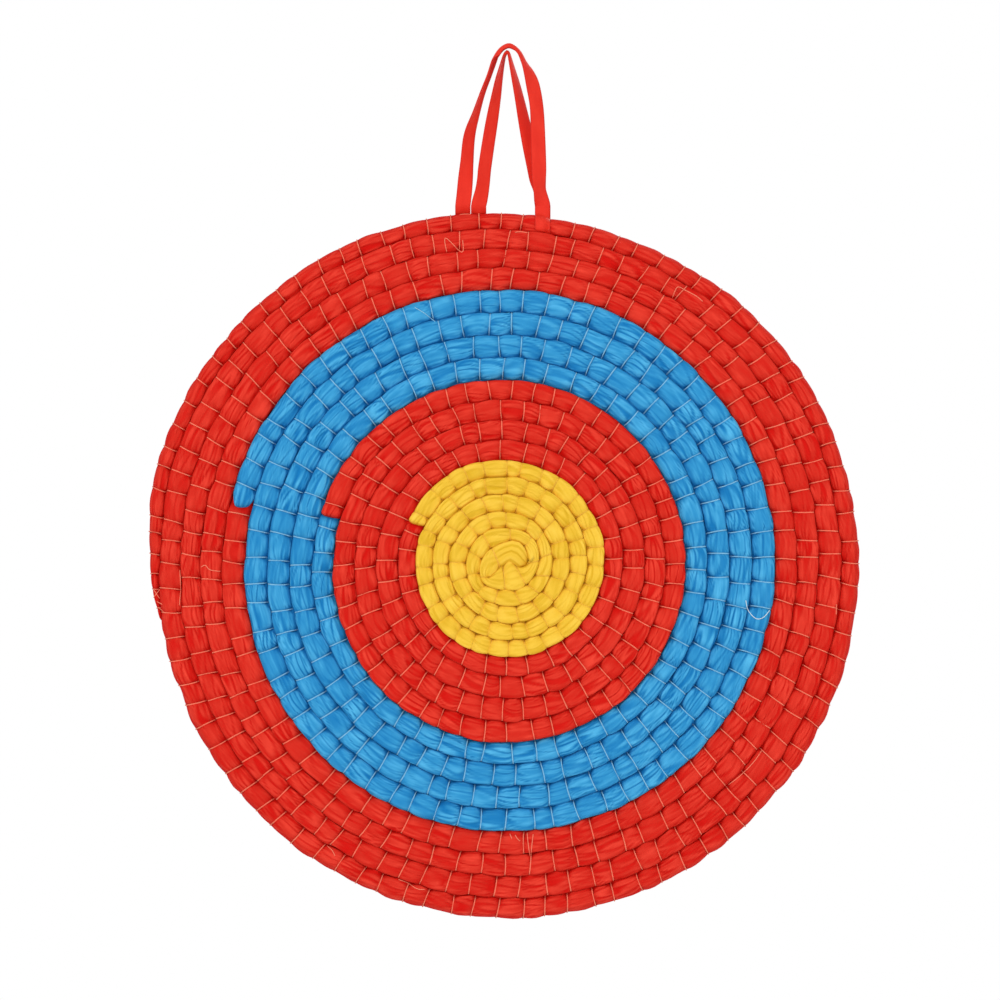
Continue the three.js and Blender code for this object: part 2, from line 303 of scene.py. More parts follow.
def makeStudio():
    scene = bpy.context.scene
    scene.view_settings.view_transform = "Standard"
    world = bpy.data.worlds.new("studio")
    scene.world = world
    world.use_nodes = True
    tree = world.node_tree
    tree.nodes.clear()
    path = addNode(tree, "ShaderNodeLightPath", {})
    seen = path + path.other("Is Glossy Ray") + path.other("Is Transmission Ray")
    strength = mixed(studio["skyStrength"], 1, limited(seen, 0, 1))
    sky = addNode(tree, "ShaderNodeBackground", {"Color": (1, 1, 1, 1), "Strength": strength})
    end = tree.nodes.new("ShaderNodeOutputWorld")
    tree.links.new(sky.socket, end.inputs["Surface"])

    reach = studio["floorReach"]
    height = cadBounds[0].z - studio["floorDrop"]
    ways = ((-1, -1), (1, -1), (1, 1), (-1, 1))
    mesh = bpy.data.meshes.new("floor")
    mesh.from_pydata([(x * reach, y * reach, height) for x, y in ways], [], [(0, 1, 2, 3)])
    floor = placed("floor", mesh)
    paint = bpy.data.materials.new("pale_floor")
    paint.use_nodes = True
    shader = paint.node_tree.nodes["Principled BSDF"]
    shader.inputs["Base Color"].default_value = (*studio["floorColour"], 1)
    shader.inputs["Roughness"].default_value = studio["floorRoughness"]
    mesh.materials.append(paint)

    for name, place, size, watts in studio["lamps"]:
        lamp = bpy.data.lights.new(name, "AREA")
        lamp.size = size
        lamp.energy = watts
        holder = bpy.data.objects.new(name, lamp)
        holder.location = place
        aim = Vector((view["middleX"], 0, view["middleZ"])) - Vector(place)
        holder.rotation_euler = aim.to_track_quat("-Z", "Y").to_euler()
        scene.collection.objects.link(holder)


makeCamera()
makeStudio()
print("camera and studio are set")


# How the rope is wound. Turns are counted from the middle, whole ones at the top.

winding = {
    "heartRadius": 0.4 * mm,
    "bands": [  # from turn, to turn, how far the rope climbs in one turn
        (0, 6.1875, 9.66 * mm),
        (6.1875, 10.2075, 11.47 * mm),
        (10.2075, 14.216, 12.72 * mm),
        (14.216, 17.27, 12.28 * mm),
        (17.27, 99, 8.15 * mm),
    ],
    "topTurn": 18,
    "freeTurn": (17.2, 17.3),  # from here on no turn lies outside
    "foldHeight": 2.4 * mm,
    "across": -2.8 * mm,
    "halfDepth": 10 * mm,
    "seamPress": 0.1 * mm,  # how far two turns press into each other
    "seamWave": 2.6 * mm,
    "seamWaveLength": 20 * mm,
    "seamWaveFull": 30 * mm,  # the radius from which the seams wave in full
    "least": 0.01 * mm,  # a radius or a width counts as no less than this
    "merge": 0.002 * mm,
}

# A cell is the pillow of cloth between two stitches. Pairs are for its inner and outer side, and in
# rimBulge, puffSpread and overhang they are the least and the most that chance gives.
cell = {
    "jitter": 0.16,  # stitches stray by this part of their spacing
    "sidePower": (1.7, 3.8),  # how square the section is
    "crownPower": 2.1,
    "corner": (5.0 * mm, 1.3 * mm),  # how the cell's outline is rounded at a stitch
    "endCorner": 0.7,  # of that, at the cell's far end
    "cornerMost": 0.66,  # of the half width
    "threadShare": 0.3,  # of that rounding, for the thread, which is drawn straight over it
    "rimPower": 2.3,  # the last turn is round on its free side
    "rimBulge": (-0.1 * mm, 0.9 * mm),  # and swells there between its stitches
    "pinchWidth": (2.4 * mm, 1.0 * mm),  # how far a stitch draws the cloth in
    "pinchDepth": (2.4 * mm, 1.1 * mm),
    "puff": 1.1 * mm,
    "puffPower": 0.55,  # how blunt a cell is towards its stitches
    "puffSpread": (0.35, 1.3),
    "lean": 0.9 * mm,  # the outer side stands over the inner side of the next turn
    "overhang": (0.1 * mm, 0.8 * mm),
    "lump": 1.4 * mm,
    "lumpSize": (8 * mm, 5 * mm),  # along the rope and round it
    "hold": 0.7,  # how far a stitch flattens lumps and pleats beside it
    "tiltSpread": 0.1,
    "backShift": 5,  # parts the noise behind from the noise in front
    "mapShift": 50 * mm,
    "columnCrowd": 0.1,  # how much closer the mesh is at the stitches, and on the crowns
    "rowCrowd": 0.28,
    "seam": 0.99999,  # of the half width: beyond it a point is the seam itself
}

# What a cloth's two ends leave of the rope
ends = {
    "tailNarrow": 0.86,  # lost at the tail's tip
    "tailThin": 0.6,
    "gather": 9 * mm,  # how long before its end a cloth is gathered
    "hidden": (-0.5 * mm, 3 * mm),  # where a cloth comes out from under the one before it
    "hiddenThin": 0.48,  # lost under it
}

# The pleats of one cell
folds = {
    "depth": 0.9 * mm,
    "sideDepth": 0.4 * mm,  # at the seams
    "length": 34 * mm,
    "reach": 4.2 * mm,  # how far from a stitch they are drawn together
    "closer": (0, 0.6),
    "centre": (-0.8, 0.25),  # where to, in half widths across
    "slant": (-0.06, 0.26),
    "pattern": (0, 60),
    "backShift": 9,
    "valley": (0.006, 0.075),  # levels of the noise
    "ridge": (0.06, 0.1),
    "ridgeFall": (0.12, 0.24),
    "ridgeLoss": 0.7,
    "within": (0.15, 0.8),  # their strength in the cell, and what a stitch adds
    "atStitch": (0.2, 1),
    "strongest": 1.15,
}


def seamRadius(turn):
    radius = winding["heartRadius"]
    for start, end, growth in winding["bands"]:
        radius = radius + limited(turn - start, 0, end - start) * growth
    return radius


def middleRadius(turn):
    return (seamRadius(turn) + seamRadius(turn - 1)) / 2


foldPlace = Vector(frame["joints"][0]["pos_m"])
bossMiddle = Vector(
    (winding["across"], 0, foldPlace.z - winding["foldHeight"] - seamRadius(winding["topTurn"]))
)

# The four cloths. Cell is the spacing of the stitches, and steps are the mesh's within a cell.
# Valley is how high two turns meet in a seam, as a share of their depth. Corner says how much the
# cells are rounded, and pleats how strong the folds in them are, and how wide. Thread is its
# radius and its lift.
cloths = {
    "gold_wrap": {
        "colour": "gold",
        "start": 0.8,
        "end": 6.1875,
        "cell": 10.6 * mm,
        "steps": (10, 26, 20),
        "tuck": (3 * mm, 2.4 * mm),
        "lastShift": 0.36,
        "square": 1.2,  # flatter cells and narrower seams
        "valley": 0.78,
        "corner": 0.42,
        "pinch": 0.55,
        "pleats": (0.42, 4.2 * mm),
        "thread": (0.26 * mm, 0.06 * mm),
        "tilt": 0.0,
        "seed": 11,
    },
    "inner_red_wrap": {
        "colour": "red",
        "start": 6.1875,
        "end": 10.2075,
        "cell": 12.2 * mm,
        "steps": (10, 26, 20),
        "under": 9 * mm,  # its start lies under the cloth before it
        "tuck": (2 * mm, 2.4 * mm),
        "lastShift": 0.36,
        "square": 0.5,
        "valley": 0.7,
        "corner": 0.74,
        "pleats": (0.86, 4.0 * mm),
        "thread": (0.38 * mm, 0.36 * mm),
        "tilt": 0.0,
        "seed": 23,
    },
    "blue_wrap": {
        "colour": "blue",
        "start": 10.2075,
        "end": 14.216,
        "cell": 13.4 * mm,
        "steps": (9, 26, 20),
        "under": 9 * mm,
        "tuck": (2 * mm, 2.4 * mm),
        "narrow": 0.42,  # gathered by this much at its end
        "valley": 0.62,
        "corner": 0.88,
        "pleats": (0.84, 3.9 * mm),
        "thread": (0.38 * mm, 0.36 * mm),
        "tilt": 2.0,
        "seed": 35,
    },
    "outer_red_wrap": {
        "colour": "red",
        "start": 14.216,
        "end": 18.275,
        "cell": 13.3 * mm,
        "steps": (7, 24, 18),
        "under": 9 * mm,
        "tuck": (2 * mm, 2 * mm),
        "lastShift": 0.3,
        "square": 0.5,
        "valley": 0.7,
        "corner": 0.74,
        "pleats": (0.9, 4.0 * mm),
        "thread": (0.38 * mm, 0.36 * mm),
        "tilt": 6.0,
        "tail": 80 * mm,
        "denseRate": 236,  # further stitches in the tail, for each square metre of way
        "seed": 47,
    },
}


def runOf(cloth):  # the numbers that place one cloth on the spiral
    under = cloth.get("under", 0) / (2 * math.pi * middleRadius(cloth["start"]))
    start = cloth["start"] - under
    turns = cloth["end"] - start
    startRadius = middleRadius(start)
    growth = (middleRadius(cloth["end"]) - startRadius) / turns
    length = 2 * math.pi * (startRadius * turns + growth * turns * turns / 2)
    tail = cloth.get("tail", 0.1 * mm)
    extra = cloth.get("denseRate", 0) * tail * tail
    cells = round(length / cloth["cell"] + extra)
    steps, front, back = cloth["steps"]
    pleatStrength, pleatWidth = cloth.get("pleats", (0.0, 4 * mm))
    threadRadius, threadLift = cloth.get("thread", (0.0, 0.0))
    return {
        "Start Turn": start,
        "Start Radius": startRadius,
        "Growth": growth,
        "Length": length,
        "Cell": length / (cells - extra),
        "Cells": cells,
        "Cell Steps": steps,
        "Front Steps": front,
        "Back Steps": back,
        "Tail": tail,
        "Tail Stitches": float(cloth.get("denseRate", 0)),
        "Start Tuck": cloth["tuck"][0],
        "End Tuck": cloth["tuck"][1],
        "End Narrow": cloth.get("narrow", 0.0),
        "Under": cloth.get("under", -1.0),
        "Last Shift": cloth.get("lastShift", 0.0),
        "Square": cloth.get("square", 0.0),
        "Valley": cloth.get("valley", 0.5),
        "Corner": cloth.get("corner", 0.0),
        "Pinch": cloth.get("pinch", 1.0),
        "Pleat Strength": pleatStrength,
        "Pleat Width": pleatWidth,
        "Thread Radius": threadRadius,
        "Thread Lift": threadLift,
        "Tilt": math.radians(cloth["tilt"]),
        "Seed": cloth["seed"],
    }


ropeInputs = runOf(cloths["gold_wrap"]) | {"Material": None}

# What is left to chance for each stitch or cell. The number is added to the cloth's seed.
draws = {
    "place": 0,
    "tone": 3,
    "puff": 6,
    "tilt": 7,
    "overhang": 8,
    "bow": 9,
    "lift": 12,
    "bulge": 14,
    "closerFirst": 21,
    "closerNext": 22,
    "centre": 23,
    "slant": 24,
    "pattern": 25,
    "within": 26,
    "atFirst": 27,
    "atNext": 28,
}


def randomOf(tree, s, draw, number, low, high):  # the quarter guards a whole number from rounding
    seed = s["Seed"] + draws[draw]
    values = {"Min": low, "Max": high, "ID": number + 0.25, "Seed": seed}
    return addNode(tree, "FunctionNodeRandomValue", values, data_type="FLOAT")


# Where stitch number `number` crosses the rope, counted along one cloth in cells
def stitchCount(tree, s, number):
    inside = number.math("GREATER_THAN", 0.5) * number.math("LESS_THAN", s["Cells"] - 0.5)
    last = number.math("GREATER_THAN", s["Cells"] - 1.5) * s["Last Shift"]
    jitter = cell["jitter"]
    return number + (randomOf(tree, s, "place", number, -jitter, jitter) + last) * inside


def tiltOf(tree, s, number):
    spread = cell["tiltSpread"]
    return s["Tilt"] + randomOf(tree, s, "tilt", number, -spread, spread)


def lengthAt(s, count):  # way along the cloth, in metres, at a count of cells
    tailStart = s["Length"] - s["Tail"]
    past = count - tailStart / s["Cell"]
    early = past.math("MINIMUM", 0)
    late = past.math("MAXIMUM", 0)
    rate = s["Cell"] ** -1
    root = (rate * rate + 4 * s["Tail Stitches"] * late).math("SQRT")
    return tailStart + early * s["Cell"] + 2 * late / (rate + root)


def turnAt(s, length):
    root = (s["Start Radius"] * s["Start Radius"] + s["Growth"] * length / math.pi).math("SQRT")
    return s["Start Turn"] + (root - s["Start Radius"]) / s["Growth"]


def seamWave(tree, turn, radius):  # both turns beside a seam see the same wave in it
    angle = turn * (2 * math.pi)
    spot = joinedXyz(tree, radius * angle.math("SINE"), 0, radius * angle.math("COSINE"))
    wave = noise(tree, spot, 1 / winding["seamWaveLength"], 1)
    return (wave - 0.5) * winding["seamWave"] * limited(radius / winding["seamWaveFull"], 0, 1)


# Middle and half width of the rope, from one seam to the next, and what its ends leave of its depth
def ropeWidth(tree, s, turn, length):
    outerSeam = seamRadius(turn)
    innerSeam = seamRadius(turn - 1)
    press = winding["seamPress"] / 2
    inner = innerSeam + seamWave(tree, turn, innerSeam) - press
    outer = outerSeam + seamWave(tree, turn, outerSeam) + press
    left = limited((length - s["Length"] + s["Tail"]) / s["Tail"], 0, 1)
    tailWidth = 1 - ends["tailNarrow"] * left * left
    tailDepth = 1 - ends["tailThin"] * left * left
    half = (outer - inner) / 2 * tailWidth
    middle = inner + half
    opened = 1 - limited(length / s["Start Tuck"], 0, 1)
    toEnd = s["Length"] - length
    closed = 1 - limited(toEnd / s["End Tuck"], 0, 1)
    begun = (1 - opened * opened).math("SQRT")
    ended = (1 - closed * closed).math("SQRT")
    narrowed = 1 - s["End Narrow"] * (1 - smoothly(toEnd, 0, ends["gather"]))
    hiddenFrom, hiddenTo = ends["hidden"]
    hidden = 1 - smoothly(length, s["Under"] + hiddenFrom, s["Under"] + hiddenTo)
    depthShare = tailDepth * begun * ended * (1 - ends["hiddenThin"] * hidden)
    return middle, half * ended * narrowed, depthShare


# Small strayings of the wound rope from a true spiral, the same for all that lies at one place
warps = {
    "heartShift": (0.75 * mm, 1.9 * mm),
    "heartFade": (55 * mm, 100 * mm),
    "heartShrink": 0.7 * mm,
    "shrinkFull": 20 * mm,
    "ringGrow": 0.8 * mm,
    "ringFade": (60 * mm, 95 * mm, 155 * mm, 185 * mm),
    "rimFade": (160 * mm, 198 * mm),
    "rimWaves": [  # place anticlockwise from the top, half width, height
        (343, 26, -3.8 * mm),
        (215, 65, 1.6 * mm),
        (72, 12, 0.9 * mm),
        (86, 9, -1.6 * mm),
    ],
}


def warped(tree, x, z):
    radius = (x * x + z * z).math("SQRT").math("MAXIMUM", winding["least"])
    angle = (x * -1).math("ARCTAN2", z)
    heart = 1 - smoothly(radius, *warps["heartFade"])
    ring = smoothly(radius, *warps["ringFade"][:2]) * (1 - smoothly(radius, *warps["ringFade"][2:]))
    shrunk = heart * warps["heartShrink"] * limited(radius / warps["shrinkFull"], 0, 1)
    out = ring * warps["ringGrow"] - shrunk
    rim = smoothly(radius, *warps["rimFade"])
    for place, halfWidth, height in warps["rimWaves"]:
        turned = (angle - math.radians(place)).math("COSINE") - 1
        wave = (turned * (2 / math.radians(halfWidth) ** 2)).math("EXPONENT")
        out = out + rim * wave * height
    newX = x + out * x / radius + heart * warps["heartShift"][0]
    newZ = z + out * z / radius + heart * warps["heartShift"][1]
    return newX + bossMiddle.x, newZ + bossMiddle.z


def spiralPlace(tree, turn, radius, depth):  # a point of the boss in the row frame
    angle = turn * (2 * math.pi)
    x, z = warped(tree, radius * angle.math("SINE") * -1, radius * angle.math("COSINE"))
    return joinedXyz(tree, x, depth, z)


# The rope's first turn is a fold, not a spiral. Rows hold the turn, and where the outer and the
# inner seam pass there, in millimetres across and up from the boss's middle.
heart = {
    "start": 0.8,
    "spiralFrom": 1.75,
    "spiralTo": 2.3,
    "press": 0.4 * mm,  # how far the rope's sides press into each other in the fold
    "rows": [
        (0.80, (15.0, 0.8), (12.9, -0.4)),
        (0.87, (11.8, 9.6), (8.3, -0.8)),
        (0.95, (6.2, 13.8), (3.6, 3.0)),
        (1.04, (-2.8, 11.8), (-0.6, 0.2)),
        (1.15, (-9.6, 7.3), (-4.6, -3.8)),
        (1.25, (-13.2, 0.0), (-7.4, -6.0)),
        (1.34, (-12.4, -7.3), (-7.5, -6.1)),
        (1.41, (-7.5, -11.3), (-5.4, -4.2)),
        (1.50, (0.8, -12.8), (-1.0, 0.0)),
        (1.61, (9.6, -11.3), (3.8, 2.8)),
        (1.69, (15.5, -6.2), (8.6, -0.9)),
        (1.777, (19.5, 3.4), (13.2, 1.6)),
        (1.87, (17.5, 14.6), (12.1, 9.6)),
        (1.95, (7.9, 20.3), (6.2, 14.1)),
        (2.04, (-4.5, 20.3), (-2.8, 12.1)),
        (2.15, (-15.2, 14.9), (-9.6, 7.3)),
        (2.30, (-21.4, -7.9), (-12.8, -4.5)),
    ],
}


def plainSeam(turn):  # where the true spiral's outer seam is, with the heart's shift
    radius = seamRadius(turn)
    radius -= warps["heartShrink"] * min(radius / warps["shrinkFull"], 1)
    angle = turn * 2 * math.pi
    shiftX, shiftZ = warps["heartShift"]
    return Vector((shiftX - radius * math.sin(angle), shiftZ + radius * math.cos(angle)))


def heartSeam(turn, column):  # the fold's seam at a turn, through the rows above
    rows = heart["rows"]
    turn = limited(turn, rows[0][0], rows[-1][0])
    index = max(i for i, row in enumerate(rows) if row[0] <= turn)
    index = min(index, len(rows) - 2)
    share = (turn - rows[index][0]) / (rows[index + 1][0] - rows[index][0])
    x, z = throughPoints([row[column] for row in rows], (index + share) / (len(rows) - 1))
    return Vector((x * mm, z * mm))


def outerShift(turn):  # from the true spiral's seam to the fold's
    fade = 1 - smoothly(turn, heart["spiralFrom"], heart["spiralTo"])
    return (heartSeam(turn, 1) - plainSeam(turn)) * fade


def innerShift(turn):
    if turn >= heart["start"] + 1:
        return outerShift(turn - 1)
    return heartSeam(turn, 2) - plainSeam(turn - 1)


def foldHeart(mesh):  # moves a mesh of the spiral's heart onto the fold
    turns = [item.value for item in mesh.attributes["seamTurn"].data]
    places = [item.value for item in mesh.attributes["seamPlace"].data]
    for vertex, turn, place in zip(mesh.vertices, turns, places):
        if turn < heart["spiralTo"] + 1:
            inner = innerShift(turn)
            outer = outerShift(turn)
            shift = inner * (1 - place) + outer * place
            across = plainSeam(turn) + outer - plainSeam(turn - 1) - inner
            fade = 1 - smoothly(turn, heart["spiralTo"], heart["spiralTo"] + 1)
            shift += across.normalized() * ((2 * place - 1) * heart["press"] * fade)
            vertex.co.x += shift.x
            vertex.co.z += shift.y
    for name in ("seamTurn", "seamPlace"):
        mesh.attributes.remove(mesh.attributes[name])


# Winds a flat mesh onto the spiral. It keeps the turn and the place from seam to seam, for the fold.
def windOn(tree, s, mesh, turn, middle, half, radius, height):
    seamPlace = (radius - middle) / (2 * half.math("MAXIMUM", winding["least"])) + 0.5
    mesh = stored(tree, mesh, "seamTurn", turn)
    mesh = stored(tree, mesh, "seamPlace", seamPlace)
    wound = {"Geometry": mesh, "Position": spiralPlace(tree, turn, radius, height)}
    mesh = addNode(tree, "GeometryNodeSetPosition", wound)
    doubled = {"Geometry": mesh, "Distance": winding["merge"]}
    finishTree(tree, addNode(tree, "GeometryNodeMergeByDistance", doubled), s["Material"])


def aroundRope(row, s):  # the angle round the rope of a row of the mesh, closer on the crowns
    front = limited(row / s["Front Steps"], 0, 1)
    back = ((row - s["Front Steps"]) / s["Back Steps"]).math("MAXIMUM", 0)
    angle = (front + back) * math.pi
    return angle + cell["rowCrowd"] * (angle * 2).math("SINE")


# How much of the half width a stitch rounds off a cell's outline, at a way from it. Share is the
# place along the cell.
def cornerAt(s, across, half, way, share):
    reach = mixed(*cell["corner"], across.math("GREATER_THAN", 0))
    reach = reach * mixed(1, cell["endCorner"], share.math("GREATER_THAN", 0.5))
    near = 1 - limited(way / reach, 0, 1)
    rounded = 1 - (1 - near * near).math("MAXIMUM", 0).math("SQRT")
    return (rounded * reach * s["Corner"] / half).math("MINIMUM", cell["cornerMost"])


# Place across the rope, from -1 at the inner side to 1, the share of its depth there, and 1 in
# front or -1 behind. The front looks to -Y.
def sectionShape(s, angle, half, turn, way, share, part=1):
    across = angle.math("COSINE")
    free = smoothly(turn, *winding["freeTurn"]) * across.math("GREATER_THAN", 0)
    power = mixed(*cell["sidePower"], (across + 1) / 2) + s["Square"]
    power = mixed(power, cell["rimPower"], free)
    reach = across.math("ABSOLUTE") / (1 - cornerAt(s, across, half, way, share) * part)
    crown = (1 - limited(reach, 0, 1) ** power).math("MAXIMUM", 0) ** (1 / cell["crownPower"])
    inside = across.math("ABSOLUTE").math("LESS_THAN", cell["seam"])
    depth = mixed(s["Valley"] * (1 - free), 1, crown) * inside
    return across, depth, angle.math("SINE").math("SIGN") * -1


# How deep a stitch draws the crown down, at a way from it
def stitchDraw(across, way):
    near = way / mixed(*cell["pinchWidth"], (across + 1) / 2)
    return (near * near * -1).math("EXPONENT")


def crownHeight(s, across, drawn):  # half the rope's depth, without what a cell puffs out
    drop = drawn * mixed(*cell["pinchDepth"], (across + 1) / 2) * s["Pinch"]
    return winding["halfDepth"] - cell["puff"] + across * cell["lean"] - drop


# Thin folds that run along the rope, drawn together by the stitches at both ends of a cell
def pleats(tree, s, number, share, cellLength, length, around, half, side):
    def chance(draw, limits):
        return randomOf(tree, s, draw, number, *folds[limits])

    atFirst = (share * cellLength / -folds["reach"]).math("EXPONENT")
    atNext = ((1 - share) * cellLength / -folds["reach"]).math("EXPONENT")
    closer = atFirst * chance("closerFirst", "closer") + atNext * chance("closerNext", "closer")
    centre = half * chance("centre", "centre")
    slant = chance("slant", "slant") * (share - 0.5) * cellLength
    streak = centre + (around - centre) / (1 - closer) - slant
    third = chance("pattern", "pattern") + side * folds["backShift"]
    pattern = grain(tree, length, streak, (folds["length"], s["Pleat Width"]), third)
    level = (pattern - 0.5).math("ABSOLUTE")
    valley = 1 - smoothly(level, *folds["valley"])
    ridge = smoothly(level, *folds["ridge"])
    ridge = ridge * (1 - folds["ridgeLoss"] * smoothly(level, *folds["ridgeFall"]))
    strength = chance("within", "within") + atFirst * chance("atFirst", "atStitch")
    strength = strength + atNext * chance("atNext", "atStitch")
    strength = limited(strength, 0, folds["strongest"]) * s["Pleat Strength"]
    return valley * strength, ridge * strength


def ropeTree():
    tree, s = newTree("Wound rope", ropeInputs | {"Pleat Depth": folds["depth"]})
    columns = s["Cells"] * s["Cell Steps"]
    rows = s["Front Steps"] + s["Back Steps"]
    shape = unitGrid(tree, columns, rows)
    shareX, shareY = gridShares(tree)
    column = (shareX * columns).math("ROUND")
    row = (shareY * rows).math("ROUND")
    number = ((column + 0.01) / s["Cell Steps"]).math("FLOOR").math("MINIMUM", s["Cells"] - 1)
    share = column / s["Cell Steps"] - number
    share = share - cell["columnCrowd"] * (share * (2 * math.pi)).math("SINE")
    first = stitchCount(tree, s, number)
    following = stitchCount(tree, s, number + 1)
    length = lengthAt(s, mixed(first, following, share))
    turn = turnAt(s, length)
    cellLength = (following - first) * s["Cell"]
    arch = (4 * share * (1 - share)).math("MAXIMUM", 0)

    middle, half, depthShare = ropeWidth(tree, s, turn, length)
    way = cellLength * (0.5 - (share - 0.5).math("ABSOLUTE"))
    across, depth, side = sectionShape(s, aroundRope(row, s), half, turn, way, share)
    around = across * half + across.math("SIGN") * (1 - depth) * winding["halfDepth"]
    crease, ridge = pleats(tree, s, number, share, cellLength, length, around, half, side)
    free = 1 - cell["hold"] * stitchDraw(1, way)
    lumps = grain(tree, length, around, cell["lumpSize"], side * cell["backShift"]) - 0.5

    puff = randomOf(tree, s, "puff", number, *cell["puffSpread"])
    tall = crownHeight(s, across, stitchDraw(across, way))
    tall = tall + arch ** cell["puffPower"] * cell["puff"] * puff
    tall = tall + free * (lumps * cell["lump"] - crease * s["Pleat Depth"])
    height = side * depth * tall * depthShare

    outer = across.math("GREATER_THAN", 0)
    shoulder = across.math("ABSOLUTE") ** 3 * depth  # nothing at the seam itself
    overhang = randomOf(tree, s, "overhang", number, *cell["overhang"]) * arch * outer
    creased = crease * free * across * folds["sideDepth"]
    swell = randomOf(tree, s, "bulge", number, *cell["rimBulge"]) * arch * across * outer
    radius = middle + across * half + shoulder * (overhang - creased) * depthShare
    radius = radius + smoothly(turn, *winding["freeTurn"]) * swell * depthShare

    tilt = mixed(tiltOf(tree, s, number), tiltOf(tree, s, number + 1), share)
    sheared = turn - tilt * across * half / (middle * (2 * math.pi))
    # crease: the pleats' valleys, darkened in the material as painted shade
    shape = stored(tree, shape, "crease", crease * free)
    # ridge: where the pleats rise, brightened in the material as a painted highlight
    shape = stored(tree, shape, "ridge", ridge * free)
    # sunk: how far the cloth lies below the rope's full depth, darkened in the material as painted
    # shade in the seams
    shape = stored(tree, shape, "sunk", 1 - height.math("ABSOLUTE") / winding["halfDepth"])
    shape = stored(tree, shape, "cellTone", randomOf(tree, s, "tone", number, 0, 1))
    shape = mapped(tree, shape, "clothMap", length, around + side * cell["mapShift"])
    windOn(tree, s, shape, sheared, middle, half, radius, height)
    return tree


straw = {
    "start": 0.84,
    "end": 18.24,
    "widthShare": 0.66,  # of the cloth's half width
    "depthShare": 0.44,
    "cell": 9 * mm,  # from one row of points to the next
    "steps": (1, 1, 1),
    "rows": 27,
    "tuck": (2 * mm, 2 * mm),
    "tilt": 0,
    "seed": 5,
    "stalks": 9,  # ridges that show round the bundle
    "stalkHeight": 0.09,
    "lay": 90 * mm,  # the bundle is twisted once in this length
    "mapRadius": 8 * mm,
}


def strawTree():
    tree, s = newTree("Straw bundle", ropeInputs)
    shape = unitGrid(tree, s["Cells"], straw["rows"])
    shareX, shareY = gridShares(tree)
    length = shareX * s["Length"]
    turn = turnAt(s, length)
    angle = shareY * (2 * math.pi)
    middle, half, depthShare = ropeWidth(tree, s, turn, length)
    twisted = angle + length / straw["lay"] * (2 * math.pi)
    stalk = (twisted * (straw["stalks"] / 2)).math("SINE").math("ABSOLUTE")
    ridge = 1 + straw["stalkHeight"] * (stalk - 1)
    radius = middle + angle.math("COSINE") * half * ridge * straw["widthShare"]
    depth = angle.math("SINE") * depthShare * ridge * (winding["halfDepth"] * straw["depthShare"])
    # furrow: between the stalks, darkened in the material as painted shade
    shape = stored(tree, shape, "furrow", 1 - stalk)
    shape = mapped(tree, shape, "strawMap", length, twisted * straw["mapRadius"])
    windOn(tree, s, shape, turn, middle, half, radius, depth * -1)
    return tree


thread = {
    "bow": 0.55 * mm,  # how far a stitch bends from straight
    "liftSpread": (0.55, 1.1),
    "rings": (9, 6),  # round the front and round the back
    "sides": 4,
    "mapStep": (2.6 * mm, 2.8 * mm),  # from ring to ring, and once round the thread
    "looseRadius": 0.27 * mm,
    "looseLift": 0.22 * mm,
    "looseSides": 5,
    "looseStep": 0.9 * mm,
    "looseMapStep": 0.5 * mm,
    "looseDepth": -5 * mm,  # where no cloth is below
    "castFrom": -100 * mm,
    "loose": [  # tint (the painted colour of the cloth below showing through the pale thread), then places across and up from the boss's middle, in millimetres
        (0, (-32.2, 176.5), (-32.8, 184.4), (-23.7, 176.4), (-23.2, 183.2)),
        (2, (-50.2, 145.4), (-44.5, 142.0), (-38.9, 137.5)),
        (0, (13.0, -149.9), (13.6, -156.0), (14.7, -163.4)),
        (0, (16.4, -150.5), (15.6, -157.0), (15.1, -163.0)),
        (0, (6.2, -150.9), (7.4, -152.9), (9.0, -154.4)),
        (0, (3.3, -150.4), (4.4, -153.0)),
        (3, (135.8, -19.2), (137.3, -24.9), (141.4, -29.3), (145.5, -28.8), (149.3, -24.8)),
        (0, (144.8, -103.7), (140.8, -109.3), (135.2, -115.5), (130.7, -119.4), (126.2, -122.8)),
        (0, (-24.9, 197.7), (-22.0, 198.0), (-18.6, 197.9)),
        (0, (-59.3, -176.1), (-54.9, -177.7), (-49.0, -181.1), (-44.6, -181.6)),
        (0, (-99.5, -157.2), (-96.6, -159.6), (-95.0, -162.7)),
        (0, (94.7, 151.0), (96.1, 154.7), (98.0, 156.9),
            (103.1, 154.4), (108.2, 151.6), (111.6, 148.7)),
        (0, (-170.2, -0.5), (-167.8, 0.6), (-165.2, -2.0), (-159.4, -2.9)),
        (0, (-182.2, -2.2), (-181.8, -12.0), (-182.4, -22.0)),
        (0, (186.8, -21.4), (186.6, -27.0)),
        (0, (6.2, 187.6), (9.6, 187.9), (13.0, 187.4)),
        (0, (-197.0, -13.2), (-195.2, -16.0), (-193.6, -18.2)),
        (0, (-193.7, -13.2), (-195.4, -15.4), (-197.1, -17.6)),
        (0, (-195.2, -19.9), (-192.2, -21.4)),
        (0, (-194.4, -23.2), (-191.4, -25.6)),
    ],
}


